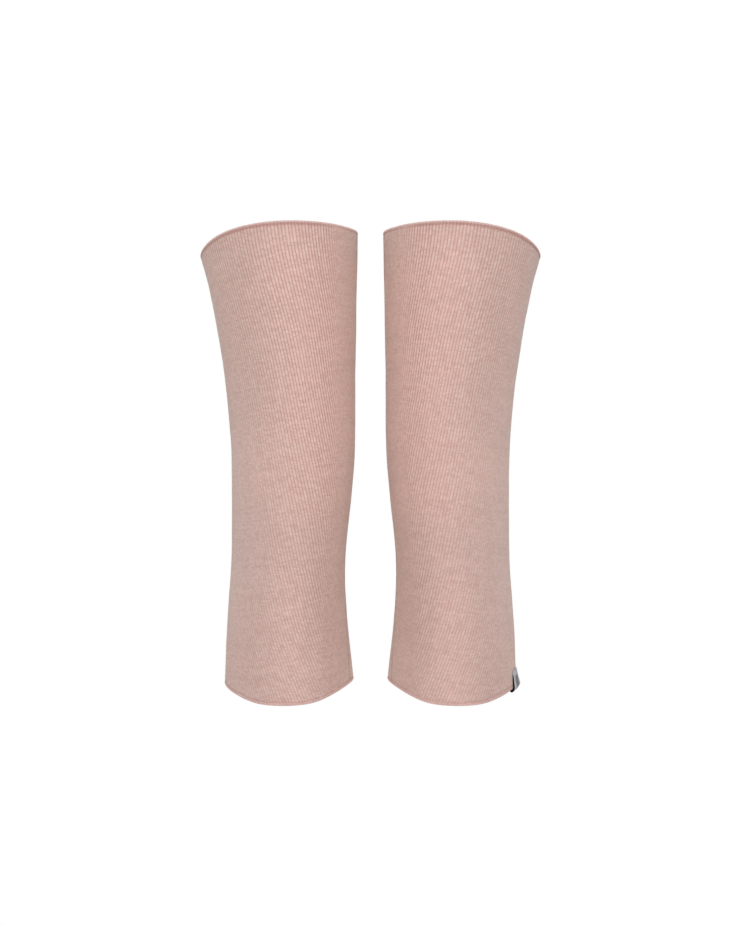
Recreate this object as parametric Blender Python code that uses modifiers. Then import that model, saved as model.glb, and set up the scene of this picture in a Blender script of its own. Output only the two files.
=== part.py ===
"""A pair of knee warmers in fine rib knit, filled out as they are worn, with no wearer.

Each leg has a knitted tube, raised in slanting ribs over a plain inside, with a narrow rolled hem at each
end. A small woven tab is folded over the lower hem of the left leg, on its outer side.

Metres, +Z up. The wearer faces -Y and has the left leg at +X. The origin lies midway between the knees, at
the height of the kneecaps. An angle round a leg is 0 on its outer side, 90 degrees at the back, 180 degrees
on its inner side and -90 degrees at the front. All shapes are worked out for the left leg, and the right
leg is its mirror image.
"""

import math
from collections import namedtuple

import bmesh
import bpy
import numpy as np

# Knitted wall
RIBS = 150  # crests round one leg
RIB_RELIEF = 0.00045  # from a groove up to a crest
WALL = 0.0017  # from the plain inside to the crests
RIBS_PER_INNER_FACE = 3
RING_COUNT = 10  # rings from the lower edge of a tube to its upper edge
RING_EASE = 1.3  # over 1 sets the lower rings closer together, where the ribs slant most
ARC_SAMPLES = 360  # steps used to measure round a section

# Hems
HEM_RADIUS = 0.0011
HEM_POINTS = 50
HEM_SIDE_RESOLUTION = 1  # six sides round the roll
SEAM_GAP = 0.0003  # between pieces that meet
HEM_CENTRE_OUT = -WALL / 2  # the roll sits on the middle of the wall

# Woven tab on the left leg's lower hem
TAB_WIDTH = 0.015
TAB_CENTRE = -0.0190  # along the hem, in front of the outer side
TAB_OUTER_LEAF = 0.0142  # height of the leaf that shows, above the hem's lower edge
TAB_INNER_LEAF = 0.0090
TAB_THICKNESS = 0.0010
TAB_CLEAR = HEM_RADIUS + SEAM_GAP  # from the middle of the wall to the near face of the tab
TAB_DROP = 0.0018  # the fold hangs this far below the hem
TAB_BULGE_FRONT = 0.0006  # how far the leaf leans out at its fold, at the front edge of the tab
TAB_BULGE_REAR = 0.0020
TAB_COLUMNS = 5
TAB_LEAF_ROWS = 4
TAB_FOLD_ROWS = 6

# Sections of the left leg, level cuts from above the upper hem to below the lower one.
# inner and outer are the cloth's sides along X, front and back its reach along Y, and turn is how far the
# ribs have moved round towards the inner side, as a share of the girth, on their way down from the top.
Section = namedtuple("Section", "height inner outer front back turn")
SECTIONS = [
    Section(0.175, 0.0103, 0.1447, -0.0740, 0.0600, 0.000),
    Section(0.126, 0.0113, 0.1311, -0.0700, 0.0580, 0.021),
    Section(0.084, 0.0119, 0.1233, -0.0655, 0.0565, 0.041),
    Section(0.041, 0.0125, 0.1174, -0.0610, 0.0550, 0.060),
    Section(0.000, 0.0127, 0.1141, -0.0575, 0.0540, 0.082),
    Section(-0.043, 0.0162, 0.1139, -0.0520, 0.0550, 0.112),
    Section(-0.094, 0.0210, 0.1149, -0.0470, 0.0600, 0.154),
    Section(-0.145, 0.0192, 0.1189, -0.0450, 0.0680, 0.195),
    Section(-0.207, 0.0127, 0.1218, -0.0440, 0.0750, 0.258),
]
WIDEST_SHARE = 0.54  # of a section's depth, from the front, lies in front of its widest line

# The edge of each hem: its height on the four sides, and how much higher it is on the diagonals
Hem = namedtuple("Hem", "front outer back inner skew")
UPPER_HEM = Hem(0.1702, 0.1503, 0.1600, 0.1737, -0.0030)
LOWER_HEM = Hem(-0.2049, -0.1936, -0.1910, -0.1908, -0.0003)

Finish = namedtuple("Finish", "colour roughness")
KNIT = Finish((0.66, 0.44, 0.39), 0.90)
HEM = Finish((0.67, 0.41, 0.38), 0.85)
TAB = Finish((0.50, 0.50, 0.56), 0.60)


def slopes(heights, values):
    """The slope of a smooth curve at each row of a table: that of its neighbours, or of the end step."""
    inside = (values[2:] - values[:-2]) / (heights[2:] - heights[:-2])
    first = (values[1] - values[0]) / (heights[1] - heights[0])
    last = (values[-1] - values[-2]) / (heights[-1] - heights[-2])
    return np.concatenate([[first], inside, [last]])


def column(name):
    """Heights, values and slopes of one column of the sections, from the lowest up."""
    rows = sorted(SECTIONS)
    heights = np.array([row.height for row in rows])
    values = np.array([getattr(row, name) for row in rows])
    return heights, values, slopes(heights, values)


COLUMNS = {name: column(name) for name in Section._fields[1:]}


def smooth(name, height):
    """A column of the sections at any height, by cubics that pass through the rows."""
    heights, values, rates = COLUMNS[name]
    low = int(np.clip(np.searchsorted(heights, height) - 1, 0, len(heights) - 2))
    step = heights[low + 1] - heights[low]
    t = (height - heights[low]) / step
    return (
        (1 + 2 * t) * (1 - t) ** 2 * values[low]
        + t * (1 - t) ** 2 * step * rates[low]
        + t**2 * (3 - 2 * t) * values[low + 1]
        + t**2 * (t - 1) * step * rates[low + 1]
    )


def section_at(height):
    return Section(height, *(smooth(name, height) for name in Section._fields[1:]))


def section_point(section, angle, out=0.0):
    """A point of a section: two half ellipses that meet on its widest line, moved out along their normal."""
    half_width = (section.outer - section.inner) / 2
    widest = section.front + WIDEST_SHARE * (section.back - section.front)
    half_depth = section.back - widest if math.sin(angle) > 0 else widest - section.front
    normal_x = math.cos(angle) / half_width
    normal_y = math.sin(angle) / half_depth
    length = math.hypot(normal_x, normal_y)
    return (
        (section.inner + section.outer) / 2 + half_width * math.cos(angle) + out * normal_x / length,
        widest + half_depth * math.sin(angle) + out * normal_y / length,
    )


def girth_table(section):
    """Angles round a section, and how far round its outline each one is."""
    angles = np.linspace(0, 2 * math.pi, ARC_SAMPLES + 1)
    points = np.array([section_point(section, angle) for angle in angles])
    steps = np.hypot(*np.diff(points, axis=0).T)
    return angles, np.concatenate([[0], np.cumsum(steps)])


def angle_at(section, share):
    """The angle at this share of the girth, counted from the outer side towards the back."""
    angles, distances = girth_table(section)
    whole_turns = np.floor(share)
    return np.interp((share - whole_turns) * distances[-1], distances, angles) + 2 * math.pi * whole_turns


def hem_height(hem, angle):
    """The height of a hem's edge: level, side tilt, front-to-back tilt, arch and diagonal lift."""
    return (
        (hem.front + hem.outer + hem.back + hem.inner) / 4
        + (hem.outer - hem.inner) / 2 * math.cos(angle)
        + (hem.back - hem.front) / 2 * math.sin(angle)
        + (hem.outer + hem.inner - hem.front - hem.back) / 4 * math.cos(2 * angle)
        + hem.skew * math.sin(2 * angle)
    )


def leg_point(side, angle, height, out=0.0):
    """A point of the cloth on the left leg (side 1) or the right one (side -1), moved out by this much."""
    x, y = section_point(section_at(height), angle, out)
    return side * x, y, height


def tube_height(share_up, angle):
    """A height on the knitted tube, from its lower edge at 0 to its upper edge at 1."""
    beside_hem = 2 * HEM_RADIUS + SEAM_GAP
    low = hem_height(LOWER_HEM, angle) + beside_hem
    high = hem_height(UPPER_HEM, angle) - beside_hem
    return low + share_up * (high - low)


def tube_ring(side, share_up, outs):
    """One ring of a tube, with a point for each value of outs, turned as the ribs are at its height."""
    middle = section_at(tube_height(share_up, math.pi / 2) / 2 + tube_height(share_up, -math.pi / 2) / 2)
    shares = np.arange(len(outs)) / len(outs) - middle.turn
    angles = angle_at(middle, shares)
    return [leg_point(side, angle, tube_height(share_up, angle), out) for angle, out in zip(angles, outs)]


def add_skin(bm, rings):
    """Joins each ring to the next with four-sided faces."""
    for low, high in zip(rings, rings[1:]):
        for i in range(len(low)):
            j = (i + 1) % len(low)
            bm.faces.new((low[i], low[j], high[j], high[i]))


def add_rim(bm, outer, inner):
    """Closes the wall at one end, with a face for each inner edge and the ribs that it faces."""
    step = len(outer) // len(inner)
    for j in range(len(inner)):
        ribbed = [outer[(j * step + k) % len(outer)] for k in range(step + 1)]
        bm.faces.new([*ribbed, inner[(j + 1) % len(inner)], inner[j]])


def new_object(name, data, finish, collection):
    obj = bpy.data.objects.new(name, data)
    material = bpy.data.materials.new(name)
    material.use_nodes = True
    shader = material.node_tree.nodes["Principled BSDF"]
    shader.inputs["Base Color"].default_value = (*finish.colour, 1)
    shader.inputs["Roughness"].default_value = finish.roughness
    shader.inputs["Metallic"].default_value = 0
    data.materials.append(material)
    collection.objects.link(obj)
    return obj


def closed_mesh(name, bm):
    bmesh.ops.recalc_face_normals(bm, faces=bm.faces)
    mesh = bpy.data.meshes.new(name)
    bm.to_mesh(mesh)
    bm.free()
    mesh.shade_smooth()
    return mesh


def make_tube(name, side, collection):
    """The knitted wall: a ribbed outer skin and a plain inner one, joined by a rim at each end."""
    ribbed = [0.0, -RIB_RELIEF] * RIBS
    plain = [-WALL] * (RIBS // RIBS_PER_INNER_FACE)
    bm = bmesh.new()
    skins = []
    for outs in (ribbed, plain):
        rings = []
        for row in range(RING_COUNT):
            points = tube_ring(side, (row / (RING_COUNT - 1)) ** RING_EASE, outs)
            rings.append([bm.verts.new(point) for point in points])
        add_skin(bm, rings)
        skins.append(rings)
    outer, inner = skins
    add_rim(bm, outer[0], inner[0])
    add_rim(bm, outer[-1], inner[-1])
    return new_object(name, closed_mesh(name, bm), KNIT, collection)


def make_hem(name, side, hem, towards_tube, collection):
    """A rolled hem, as a round tube that follows the edge of the cloth. towards_tube is 1 up, -1 down."""
    curve = bpy.data.curves.new(name, "CURVE")
    curve.dimensions = "3D"
    curve.bevel_depth = HEM_RADIUS
    curve.bevel_resolution = HEM_SIDE_RESOLUTION
    spline = curve.splines.new("POLY")
    spline.points.add(HEM_POINTS - 1)
    spline.use_cyclic_u = True
    middle = section_at((hem.front + hem.back) / 2)
    angles = angle_at(middle, np.arange(HEM_POINTS) / HEM_POINTS)
    for point, angle in zip(spline.points, angles):
        height = hem_height(hem, angle) + towards_tube * HEM_RADIUS
        point.co = (*leg_point(side, angle, height, HEM_CENTRE_OUT), 1)
    return new_object(name, curve, HEM, collection)


def tab_profile(bulge):
    """The near face of the tab from the top of its outer leaf, round the hem, to the top of its inner leaf.

    Each point is how far out it lies from the cloth's crests, and its height over the hem's lower edge.
    """
    outer_top = HEM_CENTRE_OUT + TAB_CLEAR
    inner = HEM_CENTRE_OUT - TAB_CLEAR
    outer_fold = outer_top + bulge
    fold_height = HEM_RADIUS
    points = []
    for row in range(TAB_LEAF_ROWS):
        down = row / TAB_LEAF_ROWS
        points.append((outer_top + bulge * down**2, TAB_OUTER_LEAF + down * (fold_height - TAB_OUTER_LEAF)))
    for row in range(TAB_FOLD_ROWS + 1):
        turn = math.pi * row / TAB_FOLD_ROWS
        out = (outer_fold + inner) / 2 + (outer_fold - inner) / 2 * math.cos(turn)
        points.append((out, fold_height - (TAB_CLEAR + TAB_DROP) * math.sin(turn)))
    points.append((inner, TAB_INNER_LEAF))
    return points


def make_tab(name, side, collection):
    """The woven tab: a ribbon folded over the lower hem, made from the cloth's own points, moved out."""
    middle = section_at((LOWER_HEM.front + LOWER_HEM.outer) / 2)
    girth = girth_table(middle)[1][-1]
    columns = []
    bm = bmesh.new()
    for index in range(TAB_COLUMNS):
        across = index / (TAB_COLUMNS - 1)
        along = TAB_CENTRE + TAB_WIDTH * (across - 0.5)
        angle = angle_at(middle, along / girth)
        edge = hem_height(LOWER_HEM, angle)
        bulge = TAB_BULGE_FRONT + across * (TAB_BULGE_REAR - TAB_BULGE_FRONT)
        points = [leg_point(side, angle, edge + up, out) for out, up in tab_profile(bulge)]
        columns.append([bm.verts.new(point) for point in points])
    for near, far in zip(columns, columns[1:]):
        for k in range(len(near) - 1):
            bm.faces.new((near[k], near[k + 1], far[k + 1], far[k]))
    mesh = bpy.data.meshes.new(name)
    bm.to_mesh(mesh)
    bm.free()
    tab = new_object(name, mesh, TAB, collection)
    thickness = tab.modifiers.new("ribbon thickness", "SOLIDIFY")
    thickness.thickness = TAB_THICKNESS
    thickness.offset = 1
    thickness.use_even_offset = True
    return tab


def main():
    for obj in list(bpy.data.objects):
        bpy.data.objects.remove(obj)
    pair = bpy.data.collections.new("pair of knee warmers")
    bpy.context.scene.collection.children.link(pair)
    for leg, side in (("right", -1), ("left", 1)):
        make_tube(f"{leg}_knit_tube", side, pair)
        make_hem(f"{leg}_upper_hem", side, UPPER_HEM, -1, pair)
        make_hem(f"{leg}_lower_hem", side, LOWER_HEM, 1, pair)
    make_tab("left_hem_label", 1, pair)


main()
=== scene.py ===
# %% [markdown]
# # A pair of knee warmers in fine rib knit
#
# Each leg is one tube of stretchy rib knit in a soft rose heather, with a seam down the inner leg and a
# narrow rolled hem at each end. A small woven label is folded over the left leg's lower hem. Nobody wears
# the pair here, but it keeps the filled-out shape that it has in use.
#
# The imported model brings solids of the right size. This lesson dresses them, one cell at a time: first the
# camera and the light, then the yarns, and then the knit, the hems, the stitching and the label.

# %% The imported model
import math
from collections import namedtuple

import bpy
import numpy as np
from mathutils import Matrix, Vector


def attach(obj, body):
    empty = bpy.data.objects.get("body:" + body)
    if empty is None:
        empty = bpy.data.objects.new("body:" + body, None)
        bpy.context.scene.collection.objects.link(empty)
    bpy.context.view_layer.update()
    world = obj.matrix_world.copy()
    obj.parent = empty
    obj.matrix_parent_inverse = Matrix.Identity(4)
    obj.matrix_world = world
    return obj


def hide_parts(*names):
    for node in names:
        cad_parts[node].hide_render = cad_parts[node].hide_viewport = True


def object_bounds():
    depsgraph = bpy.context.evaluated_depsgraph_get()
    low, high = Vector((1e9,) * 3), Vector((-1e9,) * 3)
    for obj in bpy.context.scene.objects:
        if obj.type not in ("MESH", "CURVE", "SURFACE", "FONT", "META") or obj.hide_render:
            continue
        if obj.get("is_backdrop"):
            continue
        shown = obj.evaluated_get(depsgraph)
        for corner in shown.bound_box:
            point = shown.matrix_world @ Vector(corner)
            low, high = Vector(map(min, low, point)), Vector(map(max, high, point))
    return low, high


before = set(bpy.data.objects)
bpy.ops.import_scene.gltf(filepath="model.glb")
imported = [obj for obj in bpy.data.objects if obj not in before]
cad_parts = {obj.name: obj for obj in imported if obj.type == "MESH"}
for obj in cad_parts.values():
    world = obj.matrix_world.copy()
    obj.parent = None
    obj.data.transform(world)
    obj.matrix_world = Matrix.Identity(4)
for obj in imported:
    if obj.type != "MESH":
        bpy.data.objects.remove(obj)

cad_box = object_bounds()
print("solids:", sorted(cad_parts))
print("box of the solids in metres:", [tuple(round(v, 4) for v in corner) for corner in cad_box])

# %% [markdown]
# ## The camera
#
# The picture was taken level with the knees, from straight ahead. A lens can be worked out from two facts:
# how far away the camera stands, and how many millimetres of the knees' plane one pixel covers. The long
# side of the picture falls on the sensor's width, so their product over the distance gives the lens.

# %% The camera
PICTURE_HEIGHT = 926
METRES_PER_PIXEL = 0.00082
CAMERA_DISTANCE = 1.0
EYE_HEIGHT = -0.01394
SENSOR_WIDTH = 36.0


def new_object(name, data):
    """Puts a mesh, a camera or a lamp into the scene as an object."""
    obj = bpy.data.objects.new(name, data)
    bpy.context.scene.collection.objects.link(obj)
    return obj


camera_data = bpy.data.cameras.new("camera")
camera_data.sensor_fit = "AUTO"
camera_data.sensor_width = SENSOR_WIDTH
camera_data.lens = SENSOR_WIDTH * CAMERA_DISTANCE / (PICTURE_HEIGHT * METRES_PER_PIXEL)
camera = new_object("camera", camera_data)
camera.location = (0, -CAMERA_DISTANCE, EYE_HEIGHT)
camera.rotation_euler = (math.pi / 2, 0, 0)
bpy.context.scene.camera = camera
print("lens in millimetres:", round(camera_data.lens, 2))

# %% [markdown]
# ## Shorthand for nodes and meshes
#
# Materials and Geometry Nodes are both trees of nodes. Written out in full, each node takes several lines,
# so a few small helpers do the typing. The first adds a node and fills its inputs, and most of the others are
# sums made with it. An input is filled with a number, or with the output of another node.

# %% Helpers for nodes
def add(tree, kind, inputs=None, **settings):
    """Adds a node to a tree. inputs names what goes into its sockets: values, or other nodes' outputs."""
    node = tree.nodes.new(kind)
    for name, value in settings.items():
        setattr(node, name, value)
    for key, value in (inputs or {}).items():
        if isinstance(value, bpy.types.NodeSocket):
            tree.links.new(value, node.inputs[key])
        else:
            node.inputs[key].default_value = value
    return node


def worked(kind, inputs, **settings):
    """Adds a node to the tree that its inputs come from, and returns its first output."""
    tree = next(value.id_data for value in inputs.values() if isinstance(value, bpy.types.NodeSocket))
    return add(tree, kind, inputs, **settings).outputs[0]


def calc(operation, *values):
    """A sum, by a Math node."""
    return worked("ShaderNodeMath", dict(enumerate(values)), operation=operation)


def times(first, *others):
    """A product of two or more values."""
    for other in others:
        first = calc("MULTIPLY", first, other)
    return first


def apart(value, middle):
    """How far a value is from a middle one."""
    return calc("ABSOLUTE", calc("SUBTRACT", value, middle))


def vector(operation, *values, **scale):
    """A sum of vectors, by a Vector Math node."""
    return worked("ShaderNodeVectorMath", dict(enumerate(values)) | scale, operation=operation)


def fade(value, full, none):
    """1 up to one value, 0 from another on, and a smooth step between them."""
    ends = {0: value, 1: full, 2: none, 3: 1.0, 4: 0.0}
    return worked("ShaderNodeMapRange", ends, interpolation_type="SMOOTHSTEP")


def noise(place, scale, detail):
    """Smooth noise from 0 to 1, with this many features to a unit of length."""
    return worked("ShaderNodeTexNoise", {"Vector": place, "Scale": scale, "Detail": detail})


def mix_colours(factor, first, second):
    """The first colour where the factor is 0 and the second where it is 1."""
    return add(factor.id_data, "ShaderNodeMix", {0: factor, 6: first, 7: second}, data_type="RGBA").outputs[2]


def open_group(name, kind, inputs, outputs):
    """Starts a node group with named sockets, each a name, a socket type and, for most inputs, a value."""
    group = bpy.data.node_groups.new(name, kind)
    for label, socket_type, *value in inputs:
        socket = group.interface.new_socket(label, in_out="INPUT", socket_type=socket_type)
        if value:
            socket.default_value = value[0]
    for label, socket_type in outputs:
        group.interface.new_socket(label, in_out="OUTPUT", socket_type=socket_type)
    return group, group.nodes.new("NodeGroupInput").outputs, group.nodes.new("NodeGroupOutput").inputs


FLOAT = "NodeSocketFloat"
VECTOR = "NodeSocketVector"
COLOUR = "NodeSocketColor"
GEOMETRY = "NodeSocketGeometry"
MATERIAL = "NodeSocketMaterial"
WHITE = (1, 1, 1, 1)


# %% Helpers for materials and meshes
def new_material(name):
    """A material and its tree, which starts with a Principled shader."""
    material = bpy.data.materials.new(name)
    material.use_nodes = True
    return material, material.node_tree


def set_shader(tree, colour, height, bump, constants):
    """Leads a colour and a bump's height to the shader. bump is its strength and its depth in metres."""
    strength, depth = bump
    raised = add(tree, "ShaderNodeBump", {"Height": height, "Strength": strength, "Distance": depth})
    shader = tree.nodes["Principled BSDF"]
    tree.links.new(colour, shader.inputs["Base Color"])
    tree.links.new(raised.outputs[0], shader.inputs["Normal"])
    for name, value in constants.items():
        shader.inputs[name].default_value = value


def new_mesh(name, places, blocks=()):
    """A mesh from places and blocks of faces, in which each face is a row of point numbers."""
    mesh = bpy.data.meshes.new(name)
    mesh.from_pydata(places, [], [tuple(face) for block in blocks for face in block.tolist()])
    return mesh


# %% [markdown]
# ## Light and stage
#
# The cloth is lit so evenly that it throws no shadow: a bright room all round, and one wide soft lamp in
# front, which makes the middle of each leg a little lighter than its sides. The room is white where the
# camera sees it and dimmer as a light, with Light Path telling the two apart. A faint soft lamp on each side
# lifts the outer edges of the legs, and one behind keeps the back from going flat when the pair is looked at
# from there.

# %% The room and the lamps
ROOM_LIGHT = 0.37


def white_to_camera(tree, light, white):
    """One shader for all that light does, and a white one for what the camera sees."""
    ray = add(tree, "ShaderNodeLightPath").outputs["Is Camera Ray"]
    return add(tree, "ShaderNodeMixShader", {0: ray, 1: light.outputs[0], 2: white.outputs[0]}).outputs[0]


bpy.context.scene.view_settings.view_transform = "Standard"
world = bpy.data.worlds.new("white room")
world.use_nodes = True
room = world.node_tree
room.nodes.clear()
dim = add(room, "ShaderNodeBackground", {"Color": WHITE, "Strength": ROOM_LIGHT})
bright = add(room, "ShaderNodeBackground", {"Color": WHITE, "Strength": 1.0})
add(room, "ShaderNodeOutputWorld", {"Surface": white_to_camera(room, dim, bright)})
bpy.context.scene.world = world

Lamp = namedtuple("Lamp", "name place size power")
LAMPS = [
    Lamp("front softbox", (0.0, -1.7, 0.85), 1.2, 22.0),
    Lamp("left softbox", (-1.7, 0.7, 0.5), 1.2, 2.0),
    Lamp("right softbox", (1.7, 0.7, 0.5), 1.2, 2.0),
    Lamp("rear softbox", (0.0, 2.4, 0.8), 1.8, 28.0),
]


def hang_lamp(lamp):
    """A square area lamp that faces the knees."""
    data = bpy.data.lights.new(lamp.name, "AREA")
    data.shape = "SQUARE"
    data.size = lamp.size
    data.energy = lamp.power
    obj = new_object(lamp.name, data)
    obj.location = lamp.place
    obj.rotation_euler = (-Vector(lamp.place)).to_track_quat("-Z", "Y").to_euler()


for lamp in LAMPS:
    hang_lamp(lamp)
print("lamps:", [lamp.name for lamp in LAMPS])

# %% [markdown]
# ## The floor
#
# The knees of a standing adult are about half a metre above the ground, so that is where the floor lies.
# It is a wide pale sheet. The camera sees it lit to the same white as the room, so that no horizon shows,
# and from underneath it is see-through, so that the pair can be looked at from below.

# %% The floor
FLOOR_HEIGHT = -0.48
FLOOR_REACH = 40.0

paint, tree = new_material("pale floor")
tree.nodes.clear()
pale = add(tree, "ShaderNodeBsdfDiffuse", {"Color": (0.8, 0.8, 0.8, 1)})
white = add(tree, "ShaderNodeEmission", {"Color": WHITE, "Strength": 1.0})
beneath = add(tree, "ShaderNodeNewGeometry").outputs["Backfacing"]
clear = add(tree, "ShaderNodeBsdfTransparent").outputs[0]
either = add(tree, "ShaderNodeMixShader", {0: beneath, 1: white_to_camera(tree, pale, white), 2: clear})
add(tree, "ShaderNodeOutputMaterial", {"Surface": either.outputs[0]})

corners = [(x * FLOOR_REACH, y * FLOOR_REACH, FLOOR_HEIGHT) for x, y in ((-1, -1), (1, -1), (1, 1), (-1, 1))]
floor_mesh = new_mesh("floor", corners, [np.array([(0, 1, 2, 3)])])
floor_mesh.materials.append(paint)
floor = new_object("floor", floor_mesh)
floor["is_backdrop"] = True
print("floor height:", FLOOR_HEIGHT)

# %% [markdown]
# ## The form of a leg
#
# A filled-out tube of cloth is a stack of level sections. Each one is two half ellipses, a shallow one in
# front and a deeper one behind, and the sizes between two rows of the table follow a smooth curve.
#
# Two more columns place the ribs. They lean: on their way down they turn towards the inner leg. And under
# the knee the front is stretched a little wider than the rest, which spreads them there.
#
# An angle round a leg is 0 on its outer side, a quarter turn at the back and half a turn on the inner side.
# The right leg is the mirror image of the left.

# %% The sections of the left leg
Section = namedtuple("Section", "height inner outer front back turn spread")
SECTIONS = [
    Section(0.175, 0.0103, 0.1447, -0.0740, 0.0600, 0.0125, -0.03),
    Section(0.150, 0.0108, 0.1375, -0.0720, 0.0590, 0.0135, -0.02),
    Section(0.126, 0.0113, 0.1311, -0.0700, 0.0580, 0.0205, -0.01),
    Section(0.084, 0.0119, 0.1233, -0.0655, 0.0565, 0.0410, 0.00),
    Section(0.041, 0.0125, 0.1174, -0.0610, 0.0550, 0.0600, 0.01),
    Section(0.000, 0.0127, 0.1141, -0.0575, 0.0540, 0.0820, 0.09),
    Section(-0.043, 0.0162, 0.1139, -0.0520, 0.0550, 0.1150, 0.19),
    Section(-0.094, 0.0210, 0.1149, -0.0470, 0.0600, 0.1515, 0.19),
    Section(-0.145, 0.0192, 0.1189, -0.0450, 0.0680, 0.1885, 0.10),
    Section(-0.207, 0.0127, 0.1218, -0.0440, 0.0750, 0.2460, 0.08),
]
WIDEST_SHARE = 0.54  # of a section's depth, from the front, lies in front of its widest line
SPREAD_AT = 0.68  # of the girth, where the ribs stand furthest apart
WALL = 0.0017  # how thick the knit is
print("sections:", len(SECTIONS))


# %% Sizes at any height
def smooth(name, height):
    """A column of the table at any heights, by cubics that pass through its rows."""
    rows = sorted(SECTIONS)
    heights = np.array([row.height for row in rows])
    values = np.array([getattr(row, name) for row in rows])
    ends = np.diff(values)[[0, -1]] / np.diff(heights)[[0, -1]]
    inside = (values[2:] - values[:-2]) / (heights[2:] - heights[:-2])
    slopes = np.concatenate([ends[:1], inside, ends[1:]])
    low = np.clip(np.searchsorted(heights, height) - 1, 0, len(heights) - 2)
    step = heights[low + 1] - heights[low]
    t = (height - heights[low]) / step
    return (
        (1 + 2 * t) * (1 - t) ** 2 * values[low]
        + t * (1 - t) ** 2 * step * slopes[low]
        + t**2 * (3 - 2 * t) * values[low + 1]
        + t**2 * (t - 1) * step * slopes[low + 1]
    )


def cloth(side, angle, height):
    """Points on the crests of the left leg's cloth (side 1) or the right's (-1), and the way out there."""
    inner, outer, front, back = (smooth(name, height) for name in ("inner", "outer", "front", "back"))
    half_width = (outer - inner) / 2
    widest = front + WIDEST_SHARE * (back - front)
    half_depth = np.where(np.sin(angle) > 0, back - widest, widest - front)
    out = np.stack([side * np.cos(angle) / half_width, np.sin(angle) / half_depth, 0 * half_width], axis=-1)
    out /= np.linalg.norm(out, axis=-1, keepdims=True)
    x = side * ((inner + outer) / 2 + half_width * np.cos(angle))
    return np.stack([x, widest + half_depth * np.sin(angle), height + 0 * x], axis=-1), out


def walk_round(height):
    """Angles round one section, and how far along its outline each one is."""
    angles = np.linspace(0, 2 * math.pi, 721)
    points, _ = cloth(1, angles, np.full_like(angles, height))
    return angles, np.concatenate([[0], np.cumsum(np.linalg.norm(np.diff(points, axis=0), axis=1))])


def angle_at(height, share):
    """The angles at these shares of the girth, counted from the outer side towards the back."""
    angles, distances = walk_round(height)
    turns = np.floor(share)
    return np.interp((share - turns) * distances[-1], distances, angles) + 2 * math.pi * turns


def rib_angles(height, points):
    """The angles of points that divide the ribs of one section evenly."""
    share = np.arange(points) / points - smooth("turn", height)
    wave = np.sin(4 * math.pi * (share - SPREAD_AT)) / (4 * math.pi)
    return angle_at(height, share + smooth("spread", height) * wave)


girth = walk_round(0.0)[1][-1]
print("girth at the knee in millimetres:", round(girth * 1000))

# %% [markdown]
# ## Where the cloth ends
#
# The edge of each hem rises and falls as it goes round. On both sides of the leg it turns sharply, and from
# there it runs almost straight to the front, where it levels out. Four heights say where it lies, and three
# more numbers say how it gets to the front: how steeply, how suddenly it levels out, and how much further
# towards the outer side than the inner one. On the inner side the thick end of the seam makes the hem stand
# a little proud, and the last two numbers say how much and how far that reaches.

# %% The edges of the hems
Hem = namedtuple("Hem", "front outer back inner steepness suddenness outward proud reach")
UPPER_HEM = Hem(0.1713, 0.1541, 0.1600, 0.1729, 1.84, 1.86, 0.0043, 0.0016, 0.065)
LOWER_HEM = Hem(-0.2048, -0.1963, -0.1910, -0.1931, 1.69, 6.2, 0.0011, -0.0014, 0.06)
ROUNDING = 0.02  # how softly an edge turns at the sides of the leg
HEM_RADIUS = 0.0011  # of the rolled hem


def edge(hem, angle):
    """The height of a hem's free edge."""
    middle = (hem.outer + hem.inner) / 2
    to_outer = np.cos(angle)
    from_side = np.sqrt(1 + ROUNDING) - np.sqrt(to_outer**2 + ROUNDING)
    level = (1 + (hem.steepness * from_side + 1e-6) ** -hem.suddenness) ** (-1 / hem.suddenness)
    in_front = (hem.front - middle + hem.outward * to_outer) * level
    behind = (hem.back - middle) * np.sin(angle) ** 2
    across = middle + (hem.outer - hem.inner) / 2 * to_outer
    at_seam = hem.proud * np.exp(-(1 + to_outer) / hem.reach)
    return across + np.where(np.sin(angle) < 0, in_front, behind) + at_seam


length_in_front = edge(UPPER_HEM, -math.pi / 2) - edge(LOWER_HEM, -math.pi / 2)
print("length down the front in millimetres:", round(length_in_front * 1000, 1))

# %% [markdown]
# ## What a knit stitch looks like
#
# Each rib is a column of knit stitches, and each stitch is a V: two legs of yarn that lean together. Fine
# gauge stitches are only a millimetre tall, far too many to model, so this node group works out their
# height from two counts that travel with the cloth as its UV map: U counts ribs and V counts courses, the
# rows of stitches. It also says how near a point is to the top of its rib.

# %% Node group: knit stitches
LEG_ROUNDNESS = 0.28
LEG_PLACE = 0.42  # how far from the crest, in shares of half a rib, a leg of yarn lies highest
CREST_FADE = (0.35, 0.95)  # where the top of a rib ends and where its groove begins, in the same shares

stitches, given, result = open_group(
    "knit stitches",
    "ShaderNodeTree",
    [("Counts", VECTOR), ("Lean", FLOAT, 0.55)],
    [("Height", FLOAT), ("Crest", FLOAT), ("Stitch", VECTOR)],
)
counts = add(stitches, "ShaderNodeSeparateXYZ", {0: given["Counts"]}).outputs
across = calc("FRACT", counts["X"])
from_crest = times(apart(across, 0.5), 2)
# The legs of a V lie on both sides of the crest, so a course is counted later the further out a point is.
leg_row = calc("ADD", counts["Y"], times(from_crest, given["Lean"]))
wave = calc("COSINE", times(leg_row, 2 * math.pi))
round_leg = calc("MULTIPLY_ADD", wave, LEG_ROUNDNESS, 0.5)
leg_top = calc("SUBTRACT", 1, apart(from_crest, LEG_PLACE))
stitches.links.new(times(round_leg, leg_top), result["Height"])
stitches.links.new(fade(from_crest, *CREST_FADE), result["Crest"])
column_and_row = {0: calc("FLOOR", counts["X"]), 1: calc("FLOOR", leg_row), 2: 0.0}
stitches.links.new(worked("ShaderNodeCombineXYZ", column_and_row), result["Stitch"])
print("group:", stitches.name, "with", len(stitches.nodes), "nodes")

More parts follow.
